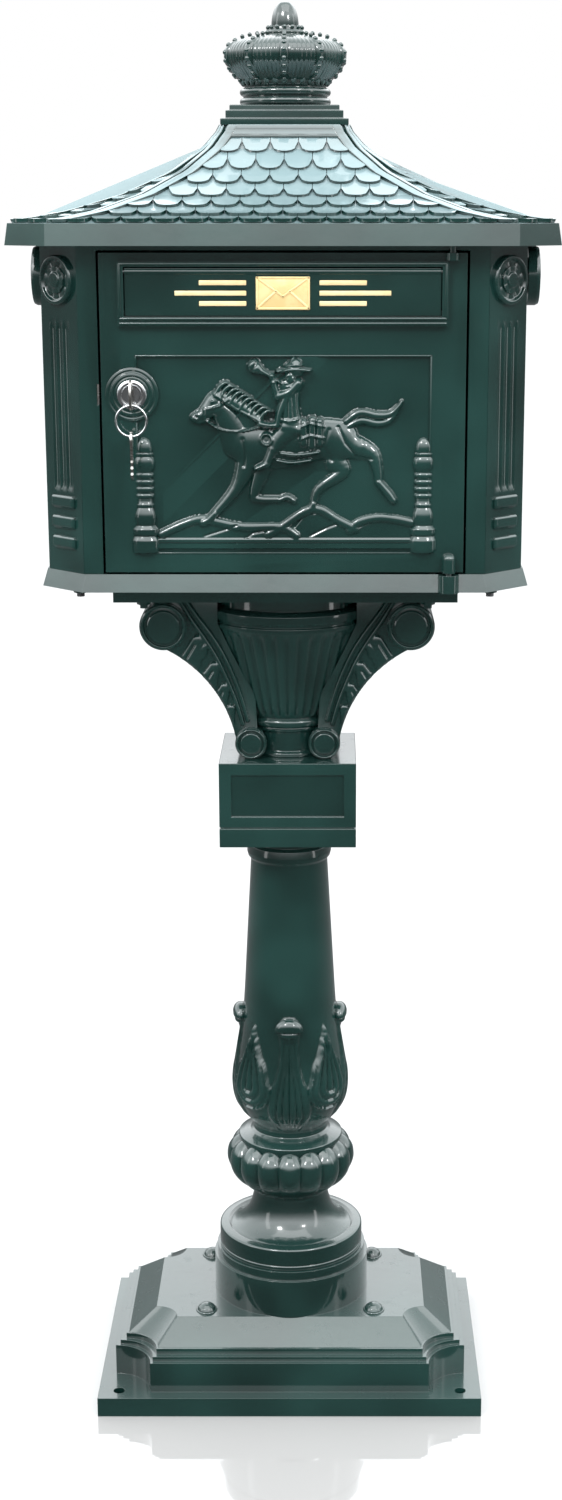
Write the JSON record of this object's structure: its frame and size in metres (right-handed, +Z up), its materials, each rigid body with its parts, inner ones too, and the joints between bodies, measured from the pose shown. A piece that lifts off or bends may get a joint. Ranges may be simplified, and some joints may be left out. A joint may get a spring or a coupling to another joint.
{
  "type": "pedestal post box",
  "caption": "Cast post box on a turned pedestal, with a hinged locking door, letter flap, hipped shingle roof and crown finial.",
  "frame": {"origin": "centre of the foot flange's underside, on the ground", "axes": "+Z up the column, -Y towards the door (front), +X to the right seen from the front"},
  "size_m": [0.4136, 0.294, 1.15],
  "materials": {
    "green_casting": "glossy dark green enamel on cast aluminium",
    "gold_paint": "gold paint with lighter edges",
    "chrome_trim": "polished chrome",
    "nickel_steel": "nickel plated steel",
    "zinc_steel": "zinc plated steel"
  },
  "bodies": {
    "post": {"back_panel": "green_casting", "body_clamp_rods": "zinc_steel", "bracket_screws": "zinc_steel", "capital_cup": "green_casting", "capital_plinth": "green_casting", "clamp_plate": "zinc_steel", "clamp_rod_nuts": "zinc_steel", "column_foot": "green_casting", "column_tie_rod": "zinc_steel", "corner_pilaster_back_left": "green_casting", "corner_pilaster_back_right": "green_casting", "corner_pilaster_front_left": "green_casting", "corner_pilaster_front_right": "green_casting", "crown_finial": "green_casting", "finial_nut": "zinc_steel", "finial_stud": "zinc_steel", "floor_tray": "green_casting", "foot_cap_bolts": "green_casting", "foot_casting": "green_casting", "foot_nuts": "zinc_steel", "foot_washers": "zinc_steel", "front_frame": "green_casting", "hinge_pin_lower": "zinc_steel", "hinge_pin_upper": "zinc_steel", "leaf_column": "green_casting", "lobed_collar": "green_casting", "mount_pan": "green_casting", "roof_cap": "green_casting", "roof_shell": "green_casting", "scroll_bracket_left": "green_casting", "scroll_bracket_right": "green_casting", "side_ornament_left": "green_casting", "side_ornament_right": "green_casting", "side_panel_left": "green_casting", "side_panel_right": "green_casting", "side_rosette_left": "green_casting", "side_rosette_right": "green_casting", "strike_plate": "nickel_steel", "tie_rod_nuts": "zinc_steel", "tie_rod_washers": "zinc_steel", "tray_bolts": "zinc_steel", "tray_nuts": "zinc_steel"},
    "door": {"door_panel": "green_casting", "relief_hills": "green_casting", "relief_rider": "green_casting", "relief_bollard_left": "green_casting", "relief_bollard_right": "green_casting", "slot_frame": "green_casting", "lock_rose": "green_casting", "lock_barrel": "chrome_trim", "lock_nut": "nickel_steel"},
    "flap": {"letter_flap": "green_casting", "flap_pin": "zinc_steel", "flap_emblem": "gold_paint"},
    "lock": {"lock_plug": "chrome_trim", "lock_cam": "nickel_steel", "cam_screw": "nickel_steel"},
    "key": {"key": "nickel_steel"},
    "key_ring": {"key_ring": "chrome_trim"},
    "spare_key": {"spare_key": "nickel_steel"}
  },
  "joints": [
    {"name": "door_swing", "type": "hinge", "parent": "post", "child": "door", "pos_m": [0.125, -0.131, 0.846], "axis": [0, 0, 1], "range_deg": [0, 105]},
    {"name": "flap_swing", "type": "hinge", "parent": "door", "child": "flap", "pos_m": [0, -0.12865, 0.9514], "axis": [-1, 0, 0], "range_deg": [0, 80]},
    {"name": "lock_turn", "type": "hinge", "parent": "door", "child": "lock", "pos_m": [-0.1133, -0.118, 0.862], "axis": [0, -1, 0], "range_deg": [0, 90]},
    {"name": "key_slide", "type": "slide", "parent": "lock", "child": "key", "axis": [0, -1, 0], "range_m": [0, 0.026]},
    {"name": "ring_swing", "type": "hinge", "parent": "key", "child": "key_ring", "pos_m": [-0.1133, -0.1393, 0.85475], "axis": [0, 1, 0], "range_deg": [-25, 25]},
    {"name": "spare_key_swing", "type": "hinge", "parent": "key_ring", "child": "spare_key", "pos_m": [-0.1133, -0.1393, 0.83195], "axis": [0, 1, 0], "range_deg": [-25, 25]}
  ]
}
